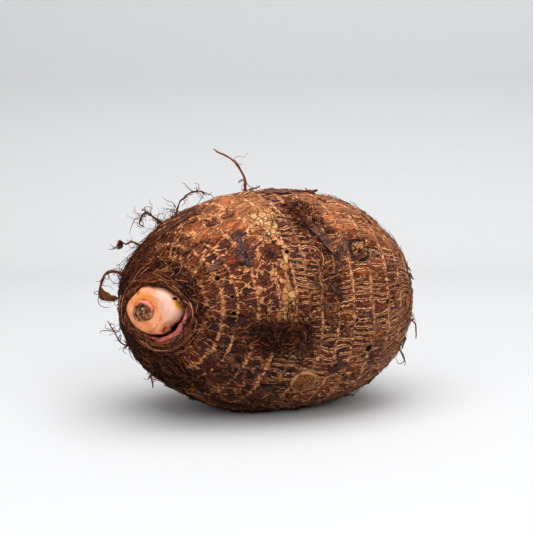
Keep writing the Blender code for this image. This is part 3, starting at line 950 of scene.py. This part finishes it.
# Painted shade: a small hole at the upper right is a dark spot. The scratch at the upper left is a dark mark.
hole = smooth(np.hypot((x - 8.0) / 0.9, (y - 4.6) / 0.6), 1.2, 0.7)
scratch = np.hypot((x + y - 0.6) / 0.7, (x - y + 10.6) / 2.6) + 0.4 * noise(local, 0.6, 72)
keep(stub.data, "hole", np.maximum(hole, 0.62 * smooth(scratch, 1.1, 0.6)))
keep(stub.data, "edge", smooth(ragged_edge, 0.84, 0.97) * facing_share(bearing, -150, -0.2, 0.4))
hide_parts("shoot_stub")
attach(stub, "root")


# ------------------------------------------------------------ furled leaf
# The dead tip of the leaf that was furled in the middle of the stalks. It is a coiled brown knot of rotted
# leaf, sunk in the stub, with a pink rim rolled over its upper side.

LEAF_HALF = np.array([0.38, 0.42])  # shares of the stub's half sizes


def pink_rim(out_from_middle, bearing, middle, width):
    """Where the leaf's rim is rolled over, along its upper side."""
    return hump(out_from_middle, middle, width) * smooth(np.cos(bearing - 1.35), 0.1, 0.6)


def on_leaf(x, y, rise):
    """Real places from shares of the leaf's half sizes, this far above the stub."""
    u, v = LEAF_MIDDLE[0] + x * LEAF_HALF[0], LEAF_MIDDLE[1] + y * LEAF_HALF[1]
    return in_shoot(np.stack([u * STUB[0] / 2, v * STUB[1] / 2, stub_surface(u, v) + rise * MM], axis=-1))


def leaf_top(x, y):
    out_from_middle, bearing = np.hypot(x, y), np.arctan2(y, x)
    coil = np.sin(2 * math.pi * (out_from_middle * 1.9 - bearing / (2 * math.pi)))
    flat = np.stack([x, y, 0 * x], axis=-1)
    rough = 0.45 * coil + 0.6 * noise(flat, 0.3, 62) + 0.25 * noise(flat, 0.13, 63)
    rise = 1.2 * np.sqrt(np.clip(1 - out_from_middle**4, 0, 1)) - 0.2
    rise += rough * smooth(out_from_middle, 1, 0.8) + 0.7 * pink_rim(out_from_middle, bearing, 0.86, 0.12)
    spread = 1 + 0.16 * noise(flat, 0.6, 64) + 0.09 * np.cos(2 * bearing - 1.2)
    return on_leaf(x * spread, y * spread, rise)


def leaf_bottom(x, y):
    return on_leaf(x * 0.95, y * 0.95, -0.5)


# Rotted leaf is damp and blotched brown, and its rim is still fleshy pink.
dead_tip, tree, inputs = new_material("rotted_leaf_tip", 0.5, 0.3)
local = node(tree, "Attribute", out="Vector", attribute_name="local")
tip_mottle = node(tree, "TexNoise", {"Vector": local, "Scale": 1.1, "Detail": 5.0})
rim = node(tree, "Attribute", out="Fac", attribute_name="rim")
tip_colour = layered(tree, linear("4e2c1a"), [
    (tip_mottle, 0.42, 0.56, 1.0, "a0673f"),
    (tip_mottle, 0.56, 0.68, 0.9, "c39566"),
    (tip_mottle, 0.4, 0.34, 0.8, "1e100a"),
    (rim, 0.3, 0.8, 0.85, "de7860"),
])
finished(tree, inputs, tip_colour, tip_mottle, 0.3)
TIP_RINGS, TIP_SPOKES = 30, 72
points, faces = lidded(TIP_RINGS, TIP_SPOKES, leaf_top, leaf_bottom)
tip = new_piece("furled_leaf_tip", points, faces, dead_tip)
pink = pink_rim(*polar(TIP_RINGS, TIP_SPOKES), 0.88, 0.13).ravel()
keep(tip.data, "rim", np.concatenate([[0], pink, [0], pink[:-TIP_SPOKES]]))
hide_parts("furled_leaf")
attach(tip, "root")


# ------------------------------------------------------------ leaf sheath
# The base of the last leaf, a fleshy crescent round the lower right of the stub, with a torn crevice inside
# it. Older sheaths have dried to a papery collar round the dish.


def crescent(start, finish, radii, width, tall, sink, seed):
    """A closed sausage along an arc of the dish, in degrees. Its width and height are its largest."""
    spine_count, around_count = 70, 20
    t = np.linspace(0, 1, spine_count)[:, None]
    turn = np.radians(start + (finish - start) * t)
    around = np.arange(around_count)[None] / around_count * 2 * math.pi
    full = np.sin(math.pi * np.clip(t, 0.004, 0.996)) ** 0.55
    body = together(np.cos(turn), np.sin(turn), 0 * around)
    wobble = 1 + 0.18 * noise(body, 0.22, seed) + 0.06 * noise(body, 0.07, seed + 1)
    offset = width / 2 * full * wobble * np.cos(around)
    x = np.cos(turn) * (radii[0] + offset)
    y = np.sin(turn) * (radii[1] + offset)
    z = sink + tall / 2 * full * wobble * np.sin(around)
    z = z + 0.1 * MM * noise(together(x, y, z), 0.9 * MM, seed + 2)
    grid = (shoot_point + together(x, y, z) @ shoot_axes).reshape(-1, 3)
    end = range(around_count)
    last = (spine_count - 1) * around_count
    ends = [tuple(end), tuple(last + j for j in reversed(end))]
    return grid, turned(grid_faces(spine_count, around_count)) + ends


# Living leaf sheath is moist and mauve pink, with paler and darker blotches.
sheath_skin, tree, inputs = new_material("mauve_leaf_sheath", 0.42)
local = node(tree, "Attribute", out="Vector", attribute_name="local")
sheath_mottle = node(tree, "TexNoise", {"Vector": local, "Scale": 0.8, "Detail": 4.0})
sheath_colour = layered(tree, linear("bc5c50"), [
    (sheath_mottle, 0.5, 0.72, 0.8, "dc947c"),
    (sheath_mottle, 0.45, 0.33, 0.8, "6a2c26"),
])
finished(tree, inputs, sheath_colour, sheath_mottle, 0.25)
wet(inputs, 0.2, (1.0, 0.3, 0.2), 0.8)
points, faces = crescent(16, -92, DISH / 2 - [0.7 * MM, 0.6 * MM], 3.0 * MM, 4.2 * MM, 0.7 * MM, 70)
sheath = new_piece("leaf_sheath_crescent", points, faces, sheath_skin)
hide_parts("leaf_sheath")
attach(sheath, "root")
points, faces = crescent(-80, -172, DISH / 2 - [1.5 * MM, 1.1 * MM], 1.2 * MM, 2.6 * MM, 0.2 * MM, 74)
inner = new_piece("inner_sheath", points, faces, sheath_skin)
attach(inner, "root")

CRESCENT_BEARING = math.radians(-38)  # the middle of the crescent, from the right side of the dish upwards


def on_dish(radial, bearing, z):
    """Real places from a share of the dish's half sizes, a bearing and a height."""
    x, y = DISH[0] / 2 * radial * np.cos(bearing), DISH[1] / 2 * radial * np.sin(bearing)
    return shoot_point + together(x, y, z) @ shoot_axes


# Dried sheath stands round the dish as a torn papery collar.
COLLAR_STRIPS = 46
collar_strips, collar_shades = [], []
for number in range(COLLAR_STRIPS):
    bearing = math.radians(number * 360 / COLLAR_STRIPS + rng.uniform(-6, 6))
    wide, tall = rng.uniform(2.2, 5.0) * MM, rng.uniform(2.0, 4.0) * MM
    lean = rng.uniform(-0.4, 0.7)
    up = np.linspace(0, 1, 7)[:, None]
    sideways = np.linspace(-0.5, 0.5, 6)[None, :]
    spread = bearing + sideways * wide / (DISH.mean() / 2)
    torn = 1 + 0.5 * noise(together(spread * 6, 0.0, number), 1, 80)
    # Round the crescent the collar stands outside it, and elsewhere it leans on the stub.
    clear = smooth(np.cos(bearing - CRESCENT_BEARING), 0.4, 0.7)
    radial = 0.88 + 0.17 * clear + 0.03 * rng.uniform(-1, 1) + lean * 0.12 * up**1.5
    radial = radial + 0.02 * np.sin(sideways * 9 + number)
    sheet = on_dish(radial, spread, 0.0) + out * (up * tall * torn - 1.2 * MM)[..., None]
    facing_way = together(np.cos(spread), np.sin(spread), 0.0) @ shoot_axes
    collar_strips.append(closed_sheet(sheet, 0.18 * MM, facing_way * np.ones_like(sheet)))
    collar_shades.append(rng.uniform(0.1, 0.75) + 0.35 * max(0, math.sin(bearing)))

# Fibres wrap round the dish between the collar and the stub.
WRAPS = 210
start = rng.uniform(0, 2 * math.pi, WRAPS)[:, None]
sweep = rng.uniform(0.3, 1.1, WRAPS) * rng.choice([-1, 1], WRAPS)
t = np.linspace(0, 1, 14)[None]
bearing = start + sweep[:, None] * t
radial = rng.uniform(0.8, 1.12, WRAPS)[:, None] + 0.16 * smooth(np.cos(bearing - CRESCENT_BEARING), 0.3, 0.6)
radial = radial + 0.05 * np.sin(t * rng.uniform(3, 9, (WRAPS, 1)) + start)
rise = rng.uniform(0.6, 3.2, WRAPS)[:, None]
rise = rise + 0.5 * np.sin(t * rng.uniform(4, 12, (WRAPS, 1)) + 2 * start)
size = rng.uniform(0.06, 0.18, WRAPS)[:, None] * MM * np.linspace(1, 0.5, 14)[None]
shades = rng.uniform(0.1, 1, WRAPS)
wrap = tubes("fibre_wrap", on_dish(radial, bearing, rise * MM), size, shades, 3, dry_fibre)
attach(wrap, "root")

# The collar closes round the fibres.
collar = joined("torn_collar", collar_strips, collar_shades, dried_leaf)
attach(collar, "root")

# Black shards, like rotted sheath, line the crevice between the stub and the crescent: dark sheets that paint
# the crevice's shade.
SHARDS = 34
shard_parts, shard_shades = [], []
for _ in range(SHARDS):
    bearing = math.radians(rng.uniform(-100, 5))
    inset = rng.uniform(0.74, 0.92)
    tall, wide = rng.uniform(1.5, 4.0) * MM, rng.uniform(0.5, 1.4) * MM
    lean = rng.normal(0, 0.3, 2)
    up = np.linspace(0, 1, 5)[:, None]
    across = np.linspace(-0.5, 0.5, 3)[None, :] * wide * (1.1 - up)
    x = DISH[0] / 2 * inset * math.cos(bearing) + lean[0] * tall * up - math.sin(bearing) * across
    y = DISH[1] / 2 * inset * math.sin(bearing) + lean[1] * tall * up + math.cos(bearing) * across
    sheet = shoot_point + together(x, y, -2.5 * MM + tall * up) @ shoot_axes
    facing_way = np.array([math.cos(bearing), math.sin(bearing), 0]) @ shoot_axes
    shard_parts.append(closed_sheet(sheet, 0.2 * MM, facing_way * np.ones_like(sheet)))
    # Nearly black, as painted shade.
    shard_shades.append(rng.uniform(0, 0.25))
shards = joined("crevice_shade_shards", shard_parts, shard_shades, dried_leaf)
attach(shards, "root")


# ------------------------------------------------------------ dry scale
# A strip of old leaf base on the top ridge, still joined to the skin at one end. It is stiff, brown and
# ribbed along its length, and it curls up at the other end.

scale_low, scale_high = map(np.array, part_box("dry_scale"))
t = np.linspace(0, 1, 30)[:, None]
s = np.linspace(-1, 1, 14)[None, :]
narrowing = 1 - 0.45 * (2 * t - 1) ** 2
scale_middle, scale_half = (scale_low + scale_high) / 2, (scale_high - scale_low) / 2
flat = together(scale_low[0] + 2 * scale_half[0] * t, scale_middle[1] + scale_half[1] * narrowing * s,
                scale_high[2])
ridge = 0.25 * np.cos(s * 14 + 3 * t) + 0.5 * noise(flat, 2.2 * MM, 84)
curl = 1.0 * smooth(t, 0.72, 1.0) + 0.4 * s**2 * t + 0.2
top = skin(unit(flat - middle))
top = top + np.array([0, 0, 1]) * (np.maximum(curl + ridge, 0.25) * MM)[..., None]
strip = closed_sheet(top, 0.3 * MM, np.array([0, 0, 1.0]))
scale = joined("curled_dry_scale", [strip], [0.45], dried_leaf)
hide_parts("dry_scale")
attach(scale, "root")


# ------------------------------------------------------------ dry roots
# Thin roots grew out through the skin between the leaf bases. They have dried to brittle brown strands with
# frayed side roots, and two still carry a flake of bark.

# Each root's thickness in millimetres, its number of side roots, and the places that it passes from the skin
# to its tip, as shares of the box that the root fills.
ROOTS = {
    "root_top": (1.1, 9, [(1, 0, 0), (1, 0, 0.21), (0.9, 0.12, 0.46), (0.7, 0.37, 0.68), (0.4, 0.62, 0.82),
                          (0, 1, 1)]),
    "root_shoulder": (1.0, 40, [(1, 0, 0.1), (0.67, 0.29, 0.6), (0.33, 0.71, 1), (0.06, 0.86, 0.7),
                                (0, 1, 0.2), (0.22, 0.86, 0)]),
    "root_arch": (0.8, 34, [(0, 1, 0), (0.17, 1, 0.53), (0.44, 0.6, 0.84), (0.72, 0.2, 1), (1, 0, 0.89)]),
    "root_hook_upper": (0.8, 8, [(1, 0, 0.57), (0.67, 0.2, 0.86), (0.39, 0.6, 0.57), (0.11, 0.8, 1),
                                 (0, 1, 0.57), (0.11, 1, 0)]),
    "root_loop": (1.3, 30, [(1, 0, 0.9), (0.53, 0.4, 1), (0.18, 0.8, 0.8), (0, 1, 0.4), (0.06, 1, 0.1),
                            (0.45, 0.7, 0), (0.95, 0.3, 0.06)]),
    "root_hook_lower": (0.8, 20, [(1, 0, 0), (0.7, 0.2, 0.06), (0.41, 0.6, 0.35), (0.18, 0.8, 0.7),
                                  (0, 1, 1)]),
    "root_lower_left": (1.0, 20, [(1, 0, 1), (0.14, 0.67, 0.92), (0, 1, 0.5), (0.43, 0.67, 0)]),
    "root_right": (0.8, 6, [(0, 1, 1), (0.72, 0.5, 0.79), (1, 0, 0.36), (0.94, 0, 0)]),
    "root_right_low": (0.7, 5, [(0, 1, 1), (0.56, 0.67, 0.69), (0.89, 0.33, 0.38), (1, 0, 0)]),
}


def curved(places, count):
    """Evenly numbered points on a smooth curve through the given ones."""
    ends = [2 * places[0] - places[1], *places, 2 * places[-1] - places[-2]]
    route = []
    for t in np.linspace(0, len(places) - 1, count):
        i = min(int(t), len(places) - 2)
        t = t - i
        a, b, c, d = ends[i : i + 4]
        squared, cubed = 2 * a - 5 * b + 4 * c - d, 3 * b - a - 3 * c + d
        route.append(0.5 * (2 * b + (c - a) * t + squared * t**2 + cubed * t**3))
    return np.array(route)


# A dry root is woody, dark reddish brown, and paler where its bark has rubbed off.
dry_root, tree, inputs = new_material("dry_root_bark", 0.65, 0.15)
shade = node(tree, "Attribute", out="Fac", attribute_name="shade")
where = node(tree, "TexCoord", out="Object")
bark = node(tree, "TexNoise", {"Vector": where, "Scale": 1500.0, "Detail": 4.0})
root_colour = layered(tree, linear("3a1608"), [
    (shade, 0.3, 0.7, 1.0, "6f3412"),
    (bark, 0.52, 0.68, 0.7, "9a5a2c"),
])
finished(tree, inputs, root_colour, bark, 0.15)

# Where flakes of bark hang on: the first and last of the root's points, how soon they are widest, their width
# in millimetres and which way they lean.
BARK = {"root_loop": (18, 33, 0.6, 3.0, (0.3, 0, 1)), "root_hook_upper": (20, 32, 1.2, 1.6, (0.7, 0, -0.7))}
bark_strips = []
POINTS = 34  # along each root
t = np.linspace(0, 1, POINTS)
for name, (thickness, side_roots, shares) in ROOTS.items():
    root_low, root_high = map(np.array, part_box(name))
    inset = thickness / 2 * MM
    places = root_low + inset + (root_high - root_low - 2 * inset) * np.array(shares)
    buried = places[0] + unit(middle - places[0]) * 1.6 * MM
    main = curved([buried, *places], POINTS)
    main += 0.4 * MM * np.stack([noise(main, 2.5 * MM, 90 + i) for i in range(3)], axis=-1)
    main_radius = thickness / 2 * MM * (1 - 0.55 * t) * (1 + 0.3 * noise(main, 1.2 * MM, 93))
    paths, radii = [main], [main_radius]
    for _ in range(side_roots):
        index = rng.integers(2, POINTS - 4) if rng.random() < 0.7 else rng.integers(0, 8)
        start = main[index]
        way = unit(rng.normal(0, 0.5, 3) + 0.9 * unit(main[index + 1] - start))
        length = rng.uniform(3, 9) * MM
        path = [start]
        bend = rng.normal(0, 0.07, 3)
        for _ in range(POINTS - 1):
            bend = 0.97 * bend + rng.normal(0, 0.025, 3)
            way = unit(way + np.cross(bend, way))
            path.append(path[-1] + way * length / POINTS)
        paths.append(np.array(path))
        radii.append(rng.uniform(0.08, 0.2) * MM * (1 - 0.6 * t))
    paths = np.array(paths)
    paths[..., 2] = np.maximum(paths[..., 2], 0.3 * MM)
    if name in BARK:
        first, last, reach, width, lean = BARK[name]
        spine = main[first:last]
        edge_way = unit(np.array(lean))
        u = np.linspace(0, 1, len(spine))[:, None, None]
        v = np.linspace(-0.2, 1, 10)[None, :, None]
        sheet = spine[:, None] + edge_way * v * width * MM * (np.sin(math.pi * u**reach) + 0.1)
        rough = [noise(sheet, 1.2 * MM, 96 + i) + 0.45 * noise(sheet, 0.45 * MM, 99 + i) for i in range(3)]
        sheet = sheet + 0.85 * MM * np.maximum(v, 0) * np.stack(rough, axis=-1)
        side = unit(np.cross(spine[-1] - spine[0], edge_way))
        bark_strips.append(closed_sheet(sheet, 0.25 * MM, side))
    root = tubes(name + "_strands", paths, np.array(radii), rng.uniform(0.1, 0.9, len(paths)), 6, dry_root)
    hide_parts(name)
    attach(root, "root")
bark_flakes = joined("bark_flakes", bark_strips, [0.6, 0.7], dried_leaf)
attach(bark_flakes, "root")


# ------------------------------------------------------------ stage and camera
# The corm lies on a seamless pale sweep of paper, under a broad soft light from above and two weaker ones
# from the front.

WALL, SWEEP, STEPS = 0.30, 0.11, 24  # how far the wall stands, and the round foot that it has
FRONT, HALF_WIDTH, TALL = -0.7, 1.6, 1.2
turns = [i / STEPS * math.pi / 2 for i in range(STEPS + 1)]
profile = [(FRONT, 0.0), *[(WALL + SWEEP * math.sin(turn), SWEEP * (1 - math.cos(turn))) for turn in turns],
           (WALL + SWEEP, TALL)]
verts = np.array([(x, y, z) for x in (HALF_WIDTH, -HALF_WIDTH) for y, z in profile])
# Matt white paper.
paper, tree, inputs = new_material("backdrop_paper", 0.9, 0.1)
inputs["Base Color"].default_value = (0.535, 0.538, 0.545, 1)
floor = new_object("sweep", verts, grid_faces(2, len(profile), False), paper)

VIEW_AZIMUTH, VIEW_ELEVATION = math.radians(-20), math.radians(8)
floor.rotation_euler.z = VIEW_AZIMUTH
forward = Vector((-math.sin(VIEW_AZIMUTH) * math.cos(VIEW_ELEVATION),
                  math.cos(VIEW_AZIMUTH) * math.cos(VIEW_ELEVATION), -math.sin(VIEW_ELEVATION)))
cad_low, cad_high = map(Vector, cad_box)
AIM_OFFSET, DISTANCE = Vector((1.5, 0, 3.6)) * MM, 0.415
target = (cad_low + cad_high) / 2 + AIM_OFFSET
camera = bpy.data.objects.new("camera", bpy.data.cameras.new("camera"))
camera.data.lens = 85
camera.data.clip_start = 0.01
camera.location = target - forward * DISTANCE
camera.rotation_euler = forward.to_track_quat("-Z", "Y").to_euler()
bpy.context.scene.collection.objects.link(camera)
bpy.context.scene.camera = camera

facing = Matrix.Rotation(VIEW_AZIMUTH, 3, "Z")


def softbox(name, place, aim, width, height, power):
    """A rectangular lamp. Its place is to the camera's right, away from the camera, and up."""
    lamp = bpy.data.lights.new(name, "AREA")
    lamp.shape = "RECTANGLE"
    lamp.size, lamp.size_y = width, height
    lamp.energy = power
    made = bpy.data.objects.new(name, lamp)
    made.location = facing @ Vector(place)
    made.rotation_euler = (facing @ (Vector(aim) - Vector(place))).to_track_quat("-Z", "Y").to_euler()
    bpy.context.scene.collection.objects.link(made)


softbox("overhead", (0.04, -0.1, 0.75), (0, -0.04, 0.03), 1.0, 0.65, 8.1)
softbox("right_front", (0.4, -0.55, 0.5), (0, 0, 0.04), 0.5, 0.5, 2.9)
softbox("left_front", (-0.5, -0.55, 0.4), (0, 0, 0.04), 0.6, 0.6, 1.5)
# The studio is bright overhead and dark lower down.
world = bpy.data.worlds.new("studio")
bpy.context.scene.world = world
world.use_nodes = True
tree = world.node_tree
upward = node(tree, "SeparateXYZ", {0: node(tree, "TexCoord", out="Generated")}, 2)
upward = node(tree, "MapRange", {"Value": upward, "From Max": 0.9, "To Min": 0.13, "To Max": 0.53})
tree.links.new(upward, tree.nodes["Background"].inputs["Strength"])
tree.nodes["Background"].inputs["Color"].default_value = (1, 1, 1, 1)
bpy.context.scene.view_settings.view_transform = "Standard"
